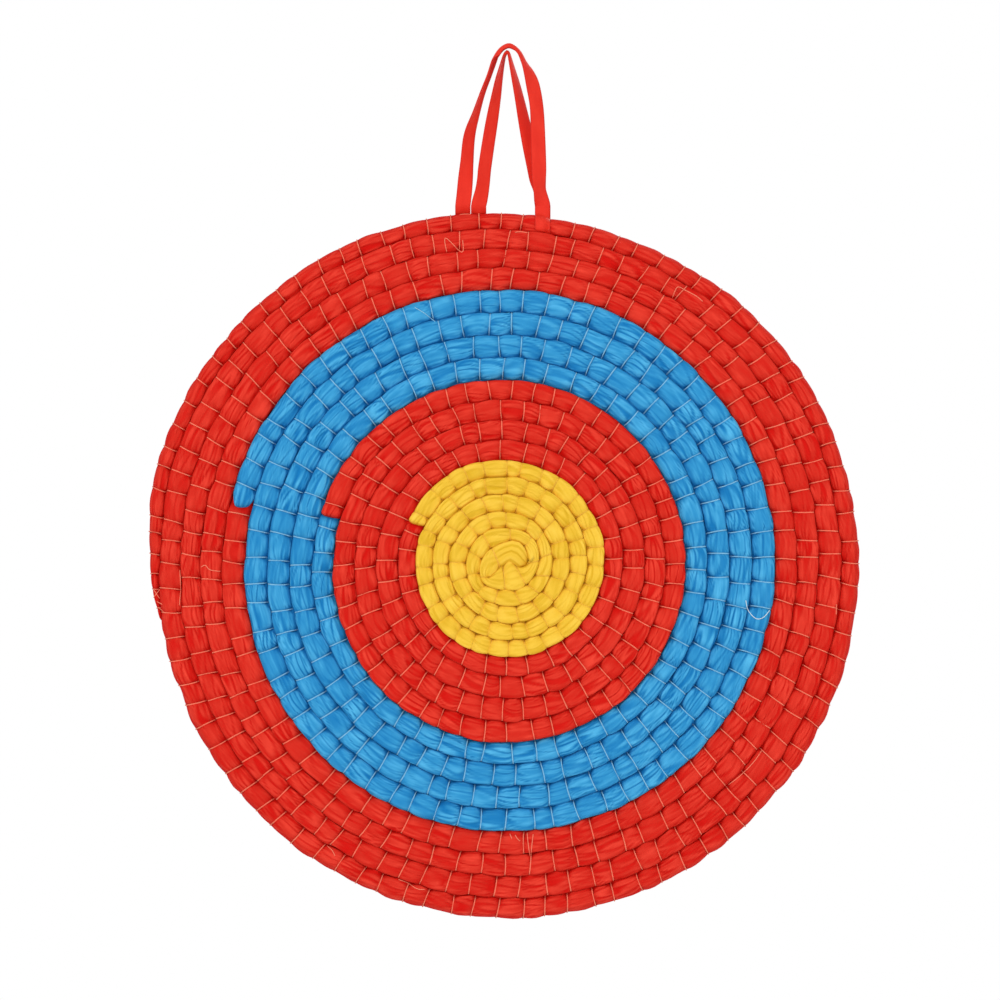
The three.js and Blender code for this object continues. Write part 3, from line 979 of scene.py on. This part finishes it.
# One loop of thread for each stitch, round the rope and through both seams
def stitchTree():
    tree, s = newTree("Stitches", ropeInputs | {"Tint": 0.0})
    front, back = thread["rings"]
    points = addNode(tree, "GeometryNodePoints", {"Count": s["Cells"] - 1})
    index = addNode(tree, "GeometryNodeInputIndex", {})
    points = stored(tree, points, "stitch", index + 1)
    spread = {"Points": points, "Instance": unitGrid(tree, front + back, thread["sides"])}
    loops = addNode(tree, "GeometryNodeInstanceOnPoints", spread)
    loops = addNode(tree, "GeometryNodeRealizeInstances", {"Geometry": loops})
    stitch = {"Name": "stitch"}
    number = addNode(tree, "GeometryNodeInputNamedAttribute", stitch, data_type="FLOAT")
    shareX, shareY = gridShares(tree)
    ring = (shareX * (front + back)).math("ROUND")
    turned = shareY * (2 * math.pi)
    length = lengthAt(s, stitchCount(tree, s, number))
    turn = turnAt(s, length)
    middle, half, depthShare = ropeWidth(tree, s, turn, length)
    angle = aroundRope(ring, {"Front Steps": front, "Back Steps": back})
    none = ring * 0
    across, depth, side = sectionShape(s, angle, half, turn, none, none, cell["threadShare"])

    outX = across * across.math("ABSOLUTE") / half
    outY = depth * side / winding["halfDepth"]
    size = (outX * outX + outY * outY).math("SQRT")
    lift = s["Thread Lift"] * randomOf(tree, s, "lift", number, *thread["liftSpread"])
    away = lift + s["Thread Radius"] * turned.math("COSINE")
    radius = middle + across * half + away * (outX / size)
    height = side * depth * crownHeight(s, across, 1) * depthShare + away * (outY / size)
    bow = randomOf(tree, s, "bow", number, -1, 1) * thread["bow"] * (1 - across * across)
    beside = bow + s["Thread Radius"] * turned.math("SINE")
    slanted = beside - tiltOf(tree, s, number) * across * half
    sheared = turn + slanted / (middle * (2 * math.pi))

    ringStep, girth = thread["mapStep"]
    # the tint paints the colour of the cloth showing through the thread
    loops = stored(tree, loops, "tint", number * 0 + s["Tint"])
    loops = mapped(tree, loops, "threadMap", ring * ringStep, shareY * girth)
    windOn(tree, s, loops, sheared, middle, half, radius, height)
    return tree


# Materials

def colour(red, green, blue):  # from screen values of 0 to 255, by the usual screen curve
    def straight(value):
        share = value / 255
        return share / 12.92 if share <= 0.04045 else ((share + 0.055) / 1.055) ** 2.4

    return (straight(red), straight(green), straight(blue), 1)


def newMaterial(name, sheet):  # with the two ways over the piece's own map
    material = bpy.data.materials.new(name)
    material.use_nodes = True
    tree = material.node_tree
    along, around, _ = partsOf(tree, addNode(tree, "ShaderNodeUVMap", {}, uv_map=sheet))
    return material, tree, along, around


def attribute(tree, name):
    node = tree.nodes.new("ShaderNodeAttribute")
    node.attribute_name = name
    return Wire(tree, node.outputs["Fac"])


def blended(tree, one, two, share):
    values = {"Factor": share, "A": one, "B": two}
    return addNode(tree, "ShaderNodeMix", values, data_type="RGBA")


def finishMaterial(material, paint, height, look):
    tree = material.node_tree
    shader = tree.nodes["Principled BSDF"]
    tree.links.new(paint.socket, shader.inputs["Base Color"])
    shader.inputs["Roughness"].default_value = look["roughness"]
    shader.inputs["Specular IOR Level"].default_value = look["shine"]
    values = {"Height": height, "Distance": look["bumpDepth"], "Strength": look["bumpStrength"]}
    tree.links.new(addNode(tree, "ShaderNodeBump", values).socket, shader.inputs["Normal"])
    return material


# Sizes of a pattern are along the rope and round it. A shade is how much the pattern brightens.
clothLook = {
    "colours": {  # deep for painted shade in folds and seams and for darker mottling, plain, light for the painted highlight on pleats and for lighter mottling
        "gold": (colour(208, 161, 18), colour(236, 190, 58), colour(248, 206, 80)),
        "red": (colour(206, 13, 5), colour(209, 42, 28), colour(232, 65, 48)),
        "blue": (colour(16, 116, 180), colour(49, 145, 200), colour(84, 180, 227)),
    },
    "streaks": (16 * mm, 2.4 * mm),
    "streakSkew": 0.12,
    "streakShift": 40,  # from cell to cell
    "streakShade": 1.5,
    "crinkles": (2.2 * mm, 0.9 * mm),
    "crinkleShift": 20,
    "patches": (11 * mm, 6 * mm),
    "patchShift": 3,
    "patchShade": 1.4,
    "toneShade": 0.34,
    "ridgePaintedHighlight": 0.75,
    "darker": 0.1,
    "shadow": (0.9, 0.7),  # how fast a dark place takes the deep colour, and the most it takes: painted shade along the streaks, and darker mottling
    # painted shade in the pleats' valleys: how fast, and the most
    "crease": (1.1, 0.95),
    "sunk": (0.2, 0.5),  # the depths between which a seam takes it, as painted shade
    "sunkShadow": 0.8,
    "bumps": (0.75, 0.25),  # of streaks and of crinkles
    "bumpDepth": 0.4 * mm,
    "bumpStrength": 0.8,
    "roughness": 0.8,
    "shine": 0.12,
}


def clothMaterial(name, look):
    deep, plain, light = look["colours"][name]
    material, tree, along, around = newMaterial(name + "_cloth", "clothMap")
    tone = attribute(tree, "cellTone")
    # Streaks paint the light and shade of the pleats, patches and the cell's tone are the cloth's own
    # mottling, and ridges get a painted highlight.
    skewed = around + along * look["streakSkew"]
    streaks = grain(tree, along, skewed, look["streaks"], tone * look["streakShift"], 2)
    crinkles = grain(tree, along, around, look["crinkles"], tone * look["crinkleShift"], 2)
    patches = grain(tree, along, around, look["patches"], look["patchShift"], 1)
    bright = (streaks - 0.5) * look["streakShade"] + (patches - 0.5) * look["patchShade"]
    bright = bright + (tone - 0.5) * look["toneShade"]
    bright = bright + attribute(tree, "ridge") * look["ridgePaintedHighlight"] - look["darker"]
    paint = blended(tree, plain, light, limited(bright, 0, 1))
    # Painted shade: dark streaks and the pleats' valleys take the deep colour.
    crease = attribute(tree, "crease")
    for value, (rate, most) in ((bright * -1, look["shadow"]), (crease, look["crease"])):
        paint = blended(tree, paint, deep, limited(value * rate, 0, most))
    # Painted shade where the cloth sinks into the seams and round the rope's sides.
    sunk = smoothly(attribute(tree, "sunk"), *look["sunk"])
    paint = blended(tree, paint, deep, sunk * look["sunkShadow"])
    bump = streaks * look["bumps"][0] + crinkles * look["bumps"][1]
    return finishMaterial(material, paint, bump, look)


threadLook = {
    # The tints paint the colour of the cloth below, which shows through the pale thread: red, gold,
    # blue, and nearly white.
    "tints": [(250, 126, 94), (240, 182, 48), (134, 198, 228), (206, 228, 238)],
    "ply": (1.3 * mm, 2.8 * mm),
    "plyShade": 0.12,
    "fibres": (0.5 * mm, 0.3 * mm),
    "fibreShade": 1.6,
    "darker": 0.5,
    "most": 0.8,
    "whiter": 0.12,
    "bumpDepth": 0.12 * mm,
    "bumpStrength": 0.6,
    "roughness": 0.7,
    "shine": 0.15,
}


def threadMaterial(look):
    material, tree, along, around = newMaterial("sewing_thread", "threadMap")
    ply = ((along / look["ply"][0] + around / look["ply"][1]) * (2 * math.pi)).math("SINE")
    fibres = grain(tree, along, around, look["fibres"], 0, 1)
    # The tint paints the colour of the cloth below, showing through the pale thread.
    tint = attribute(tree, "tint")
    plain, *others = [colour(*value) for value in look["tints"]]
    for index, following in enumerate(others):
        plain = blended(tree, plain, following, limited(tint - index, 0, 1))
    pale = blended(tree, plain, (1, 1, 1, 1), look["whiter"])
    bright = fibres * look["fibreShade"] + ply * look["plyShade"] - look["darker"]
    # paler, nearer white, along the fibres and the ply
    paled = blended(tree, plain, pale, limited(bright, 0, look["most"]))
    return finishMaterial(material, paled, ply, look)


strawLook = {
    # dull and pale stalk, aged knot, and the painted shade of the furrows
    "colours": [(150, 116, 58), (226, 200, 138), (128, 96, 48), (92, 66, 30)],
    "stalks": (60 * mm, 1.1 * mm),
    "stalkShade": 1.6,
    "darker": 0.3,
    "knots": (18 * mm, 3 * mm),
    "knotShift": 7,
    "knotFrom": 0.56,
    "knotShade": 5,
    "knotMost": 0.7,
    "furrowShade": 0.8,
    "bumpDepth": 0.4 * mm,
    "bumpStrength": 0.8,
    "roughness": 0.6,
    "shine": 0.5,
}


def strawMaterial(look):
    material, tree, along, around = newMaterial("straw", "strawMap")
    dull, pale, aged, deep = [colour(*value) for value in look["colours"]]
    stalks = grain(tree, along, around, look["stalks"], 0, 2)
    knots = grain(tree, along, around, look["knots"], look["knotShift"], 1)
    knotted = limited((knots - look["knotFrom"]) * look["knotShade"], 0, look["knotMost"])
    paint = blended(tree, dull, pale, stalks * look["stalkShade"] - look["darker"])
    paint = blended(tree, paint, aged, knotted)
    # Painted shade in the furrows between the stalks.
    paint = blended(tree, paint, deep, attribute(tree, "furrow") * look["furrowShade"])
    return finishMaterial(material, paint, stalks, look)


materials = {name: clothMaterial(name, clothLook) for name in clothLook["colours"]}
materials["thread"] = threadMaterial(threadLook)
materials["straw"] = strawMaterial(strawLook)
print("materials are made")


# The rope's four cloths and the thread that sews them

# Each cloth's stitches take its painted see-through tint.
tintOf = {"red": 0.0, "gold": 1.0, "blue": 2.0}


def makeRope():
    rope = ropeTree()
    pieces = []
    for name, cloth in cloths.items():
        sizes = runOf(cloth)
        mesh = growMesh(name + "_cloth", rope, sizes | {"Material": materials[cloth["colour"]]})
        foldHeart(mesh)
        piece = placed(name + "_cloth", mesh)
        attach(piece, "boss")
        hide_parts(name)
        pieces.append(piece)
        length = round(sizes["Length"], 3)
        print(name, len(mesh.vertices), "vertices", length, "m", sizes["Cells"], "cells")
    return pieces


def makeStraw():
    mesh = growMesh("straw_bundle", strawTree(), runOf(straw) | {"Material": materials["straw"]})
    foldHeart(mesh)
    piece = placed("straw_bundle", mesh)
    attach(piece, "boss")
    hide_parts("straw_core")
    print("straw", len(mesh.vertices), "vertices")


def joinedMesh(name, meshes):
    parts = [placed(name + "_part", mesh) for mesh in meshes]
    with bpy.context.temp_override(active_object=parts[0], selected_editable_objects=parts):
        bpy.ops.object.join()
    whole = parts[0]
    whole.name = name
    whole.data.name = name
    return whole


def looseThreads():  # short ends that lie on the cloth, each a thin tube draped over it
    graph = bpy.context.evaluated_depsgraph_get()
    skins = [BVHTree.FromObject(piece, graph) for piece in ropePieces]
    meshes = []
    for tint, *stops in thread["loose"]:
        flat = evenly([(x * mm, 0, z * mm) for x, z in stops], thread["looseStep"])
        spots = [(bossMiddle.x + x, bossMiddle.z + z) for x, _, z in flat]
        heights = []
        for x, z in spots:
            start = Vector((x, thread["castFrom"], z))
            hits = [skin.ray_cast(start, Vector((0, 1, 0)))[0] for skin in skins]
            heights.append(min((hit.y for hit in hits if hit), default=thread["looseDepth"]))
        heights = levelled(heights, min, 2)  # pulled straight over the dips
        way = [Vector((x, y - thread["looseLift"], z)) for (x, z), y in zip(spots, heights)]
        mesh = tube("loose_thread", way, thread["looseRadius"], thread["looseSides"])
        # each loose end takes the painted colour of the cloth that shows through it
        tints = mesh.attributes.new("tint", "FLOAT", "POINT")
        tints.data.foreach_set("value", [float(tint)] * len(mesh.vertices))
        mesh.materials.append(materials["thread"])
        meshes.append(mesh)
    return meshes


def tube(name, way, radius, sides):  # a closed round tube along a way
    points = []
    faces = []
    for k, place in enumerate(way):
        before, after = besides(way, k)
        along = (after - before).normalized()
        across = along.cross(Vector((0, 1, 0))).normalized()
        up = across.cross(along)
        for j in range(sides):
            angle = 2 * math.pi * j / sides
            points.append(place + (across * math.cos(angle) + up * math.sin(angle)) * radius)
    for k in range(len(way) - 1):
        for j in range(sides):
            a = k * sides + j
            b = k * sides + (j + 1) % sides
            faces.append((b, a, a + sides, b + sides))
    faces.append(tuple(range(sides)))
    faces.append(tuple(reversed(range(len(points) - sides, len(points)))))
    mesh = bpy.data.meshes.new(name)
    mesh.from_pydata(points, [], faces)
    layout = mesh.uv_layers.new(name="threadMap")
    for loop in mesh.loops:
        ring, side = divmod(loop.vertex_index, sides)
        layout.data[loop.index].uv = (ring * thread["looseStep"], side * thread["looseMapStep"])
    mesh.shade_smooth()
    return mesh


def makeThread():
    stitches = stitchTree()
    meshes = []
    for name, cloth in cloths.items():
        sizes = runOf(cloth) | {"Material": materials["thread"], "Tint": tintOf[cloth["colour"]]}
        meshes.append(growMesh(name + "_stitches", stitches, sizes))
        foldHeart(meshes[-1])
    piece = joinedMesh("sewing_thread", meshes + looseThreads())
    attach(piece, "boss")
    print("thread", len(piece.data.vertices), "vertices")


makeStraw()
ropePieces = makeRope()
makeThread()


# The two ribbons. Each is one strip, from its left end behind the rim over the top to its right
# end. A leg's rows hold the way across to the top, the way up to it, the quarter turn that brings
# the width from across to through, and the belly.
ribbon = {
    "width": 8.6 * mm,
    "thickness": 0.5 * mm,
    "hem": 0.62,  # of the thickness, along both edges
    "belly": 2.6 * mm,
    "layer": 0.45 * mm,  # two ribbons lie in layers on the fold line
    "station": 1.3 * mm,
    "endStation": 1.17 * mm,
    "acrossSteps": 10,
    "foldSpan": (1.6 * mm, 2.2 * mm),  # above and below the fold line, where it bends
}


# How a ribbon's end lies on the last turn. Angles are round that turn: 90 is its outermost line and
# 0 the middle of its face.
sewnEnd = {
    "lift": 0.3 * mm,  # off the cloth that it lies on
    "drop": 0.3 * mm,  # below the fold line where it starts, and in the seam where it stops
    "ropeHalf": 4.6 * mm,
    "castDown": 20 * mm,  # the turn is sought from this high above the fold line
    "castIn": (18 * mm, 11.5 * mm),  # and its face from so far off its middle, nearer at the seam
    "seamAngle": -5,  # where the seam begins
    "missed": 9 * mm,  # taken where no cloth is met
    "angleStep": 8,
    "firstAngle": 66,
    "lastAngle": -28,  # where it dips into the seam
}
outerRibbon = {
    "name": "outer_ribbon",
    "nodes": ("outer_hanging_loop", "outer_loop_left_end", "outer_loop_right_end"),
    "feet": (-26.0 * mm, 18.9 * mm),
    "sides": (1, -1),  # behind at the left, in front at the right
    "top": 0.8 * mm,
    "rise": 91.2 * mm,
    "edgeDroop": 2.4 * mm,  # at the top, where the ribbon cups
    "left": [
        (0, 0, 0, 0),
        (0.035, 0.089, 0.02, 0.1),
        (0.081, 0.257, 0.34, 0.1),
        (0.13, 0.425, 0.46, 0),
        (0.246, 0.56, 0.66, 0),
        (0.377, 0.695, 0.79, 0),
        (0.515, 0.804, 0.84, 0),
        (0.63, 0.9, 0.8, 0),
        (0.69, 0.94, 1.0, 0),
        (0.82, 0.983, 0.97, 0),
    ],
    "right": [
        (0, 0, 0, -0.2),
        (0.075, 0.084, 0.38, -0.5),
        (0.105, 0.16, 0.3, -0.8),
        (0.11, 0.233, 0.2, -0.9),
        (0.133, 0.381, 0.2, -1),
        (0.177, 0.594, 0.3, -1),
        (0.293, 0.736, 0.3, -0.6),
        (0.42, 0.829, 0.53, -0.3),
        (0.53, 0.888, 0.74, 0),
        (0.7, 0.957, 0.9, 0),
    ],
}
innerRibbon = {
    "name": "inner_ribbon",
    "nodes": ("inner_hanging_loop", "inner_loop_left_end", "inner_loop_right_end"),
    "feet": (-17.1 * mm, 19.1 * mm),
    "sides": (1, 1),
    "top": -0.9 * mm,
    "rise": 87.5 * mm,
    "edgeDroop": 1.5 * mm,
    "left": [
        (0, 0, 0, 0),
        (0.11, 0.088, 0.28, 0.1),
        (0.17, 0.165, 0.36, 0.2),
        (0.21, 0.242, 0.36, 0.2),
        (0.331, 0.396, 0.38, 0.3),
        (0.463, 0.55, 0.43, 0.2),
        (0.599, 0.705, 0.57, 0),
        (0.69, 0.82, 0.7, 0),
        (0.8, 0.93, 0.86, 0),
        (0.88, 0.978, 0.97, 0),
    ],
    "right": [
        (0, 0, 0, 0.2),
        (0.08, 0.088, 0.38, 0.5),
        (0.175, 0.165, 0.25, 0.8),
        (0.24, 0.242, 0.2, 0.9),
        (0.39, 0.396, 0.32, 1),
        (0.5275, 0.549, 0.46, 0.8),
        (0.66, 0.705, 0.6, 0.5),
        (0.765, 0.82, 0.7, 0.2),
        (0.87, 0.93, 0.84, 0),
        (0.925, 0.978, 0.95, 0),
    ],
}


def loopStops(strip):  # rows of x, y, z and quarter turn, from the left foot to the right foot
    rows = []
    for foot, side, leg in zip(strip["feet"], strip["sides"], (strip["left"], strip["right"])):
        layer = ribbon["layer"] * side
        half = []
        for across, up, quarter, belly in leg:
            x = mixed(foot, strip["top"], across)
            y = layer if up == 0 else belly * ribbon["belly"] + layer * (1 - up)
            half.append((x, y, foldPlace.z + strip["rise"] * up, quarter))
        rows.append(half)
    top = (strip["top"], 0, foldPlace.z + strip["rise"], 1)
    return [*rows[0], top, *reversed(rows[1])]


def outAt(side, degrees):
    angle = math.radians(degrees)
    return Vector((0, side * math.cos(angle), math.sin(angle)))


# The way down one end, for one place across the width: off the fold line, onto the last turn, round
# its face and into the seam below
def endWay(skin, x, side):
    above = Vector((x, 0, foldPlace.z + sewnEnd["castDown"]))
    down = skin.ray_cast(above, Vector((0, 0, -1)))[0]
    middle = Vector((x, 0, down.z - sewnEnd["ropeHalf"]))
    angles = range(90, sewnEnd["lastAngle"] - 1, -sewnEnd["angleStep"])
    reaches = []
    for degrees in angles:
        out = outAt(side, degrees)
        start = middle + out * sewnEnd["castIn"][0 if degrees > sewnEnd["seamAngle"] else 1]
        hit = skin.ray_cast(start, -out)[0]
        reaches.append((hit - middle).length if hit else sewnEnd["missed"])
    reaches = levelled(reaches, max, 3)
    way = [(x, ribbon["layer"] * side, foldPlace.z - sewnEnd["drop"])]
    for degrees, reach in zip(angles, reaches):
        if degrees <= sewnEnd["firstAngle"]:
            way.append(tuple(middle + outAt(side, degrees) * (reach + sewnEnd["lift"])))
    half = sewnEnd["ropeHalf"]
    way.append(tuple(middle + Vector((0, side * half, -half - sewnEnd["drop"]))))
    return evenly(way, ribbon["endStation"])


# How wide a strip lies when its edges droop. A shallow bow is longer than its chord by 8/3 of the
# droop squared, over the chord.
def chordOf(width, droop):
    return (width + math.sqrt(width * width - 4 * 8 / 3 * droop * droop)) / 2


def makeRibbon(strip, skin):
    steps = ribbon["acrossSteps"]
    spots = [2 * j / steps - 1 for j in range(steps + 1)]  # from one edge to the other
    stops = evenly(loopStops(strip), ribbon["station"])
    rows = []  # each row holds the strip's middle surface, from one edge to the other
    for k, (x, y, z, quarter) in enumerate(stops):
        before, after = besides(stops, k)
        along = (Vector(after[:3]) - Vector(before[:3])).normalized()
        angle = math.pi / 2 * limited(quarter, 0, 1)
        across = Vector((math.cos(angle), math.sin(angle), 0))
        across = (across - along * across.dot(along)).normalized()
        face = across.cross(along)
        droop = strip["edgeDroop"] * limited(quarter, 0, 1) ** 3
        half = chordOf(ribbon["width"], droop) / 2
        rows.append([Vector((x, y, z)) + across * (w * half) + face * (droop * w * w) for w in spots])
    sewn = []
    for foot, side in zip(strip["feet"], strip["sides"]):
        ways = [endWay(skin, foot + w * ribbon["width"] / 2, side) for w in spots]
        count = min(len(way) for way in ways)
        shares = [i / (count - 1) for i in range(count)]
        sewn.append([[Vector(throughPoints(way, share)) for way in ways] for share in shares])
    rows = [*reversed(sewn[0]), *rows[1:-1], *sewn[1]]
    return thickStrip(strip["name"], rows, ribbon["thickness"])


def thickStrip(name, rows, thickness):  # a closed strip of cloth with its rows in its middle
    count = len(rows[0])
    front = []
    back = []
    for k, row in enumerate(rows):
        for j, place in enumerate(row):
            below, above = besides(rows, k)
            left, right = besides(row, j)
            normal = (right - left).cross(above[j] - below[j]).normalized()
            hem = ribbon["hem"] if j in (0, count - 1) else 1
            front.append(place + normal * (thickness / 2 * hem))
            back.append(place - normal * (thickness / 2 * hem))
    size = len(front)
    faces = []
    for k in range(len(rows) - 1):
        for j in range(count - 1):
            a = k * count + j
            b = a + count
            faces.append((a, a + 1, b + 1, b))
            faces.append((size + b, size + b + 1, size + a + 1, size + a))
        a = k * count
        b = a + count
        faces.append((a, b, size + b, size + a))
        a += count - 1
        b += count - 1
        faces.append((size + a, size + b, b, a))
    last = (len(rows) - 1) * count
    for j in range(count - 1):
        faces.append((size + j, size + j + 1, j + 1, j))
        faces.append((last + j, last + j + 1, size + last + j + 1, size + last + j))
    mesh = bpy.data.meshes.new(name)
    mesh.from_pydata(front + back, [], faces)
    lengths = lengthsAlong([row[count // 2] for row in rows])
    layout = mesh.uv_layers.new(name="ribbonMap")
    for loop in mesh.loops:
        k, j = divmod(loop.vertex_index % size, count)
        layout.data[loop.index].uv = (lengths[k], j / (count - 1))
    mesh.shade_smooth()
    return mesh


ribbonLook = {
    # plain, lighter and darker for the painted sheen and the weave's streaks, and the hem
    "colours": [(228, 47, 30), (238, 62, 44), (212, 34, 22), (200, 32, 22)],
    "drift": (14 * mm, 1 / 1.4),  # painted sheen; sizes along it, and in widths across it
    "driftShade": 1.6,
    "threads": (3 * mm, 1 / 46),
    "threadShade": 0.9,
    "pick": 0.32 * mm,
    "edge": 0.43,  # in widths from its middle
    "edgeFade": 0.05,
    "edgeShade": 0.6,
    "bumps": (0.5, 0.25, 0.8),  # of threads, picks and the edge
    "bumpDepth": 0.1 * mm,
    "bumpStrength": 0.7,
    "roughness": 0.6,
    "shine": 0.16,
}


def ribbonMaterial(look):
    material, tree, along, across = newMaterial("satin_ribbon", "ribbonMap")
    plain, light, deep, hem = [colour(*value) for value in look["colours"]]
    drift = grain(tree, along, across, look["drift"], 0, 1)
    threads = grain(tree, along, across, look["threads"], 0, 1)
    picks = (along / look["pick"] * (2 * math.pi)).math("SINE")
    outwards = (across - 0.5).math("ABSOLUTE")
    edge = limited((outwards - look["edge"]) / look["edgeFade"], 0, 1)
    # The drift paints the satin's sheen; the threads are the weave's own streaks.
    bright = (drift - 0.5) * look["driftShade"] + (threads - 0.5) * look["threadShade"]
    paint = blended(tree, plain, light, limited(bright, 0, 1))
    paint = blended(tree, paint, deep, limited(bright * -1, 0, 1))
    paint = blended(tree, paint, hem, edge * look["edgeShade"])
    ofThreads, ofPicks, ofEdge = look["bumps"]
    bump = threads * ofThreads + picks * ofPicks + edge * ofEdge
    return finishMaterial(material, paint, bump, look)


def makeRibbons():
    material = ribbonMaterial(ribbonLook)
    outer = next(piece for piece in ropePieces if piece.name == "outer_red_wrap_cloth")
    skin = BVHTree.FromObject(outer, bpy.context.evaluated_depsgraph_get())
    for strip in (outerRibbon, innerRibbon):
        mesh = makeRibbon(strip, skin)
        mesh.materials.append(material)
        piece = placed(strip["name"], mesh)
        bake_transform(piece)
        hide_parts(*strip["nodes"])
        print(strip["name"], len(mesh.vertices), "vertices")


makeRibbons()
